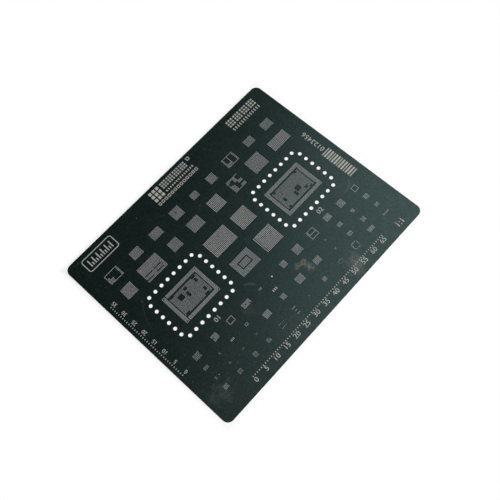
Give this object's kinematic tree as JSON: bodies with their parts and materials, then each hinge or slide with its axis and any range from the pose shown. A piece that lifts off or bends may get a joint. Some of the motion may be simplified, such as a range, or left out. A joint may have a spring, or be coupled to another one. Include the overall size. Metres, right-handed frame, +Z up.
{
  "type": "solder paste stencil",
  "caption": "Thin flat steel sheet with rounded corners, laser-cut with many small fields of square apertures for solder paste and rings of round relief holes.",
  "frame": {"origin": "centre of the sheet's underside", "axes": "+Z up through the sheet's thickness, +X along its long side, +Y along its short side, towards the edge with the capsule outline"},
  "size_m": [0.1, 0.08, 0.0001],
  "materials": {
    "sheet": "satin",
    "engraving": "matte"
  },
  "bodies": {
    "root": {"stencil_sheet": "sheet"}
  },
  "joints": []
}
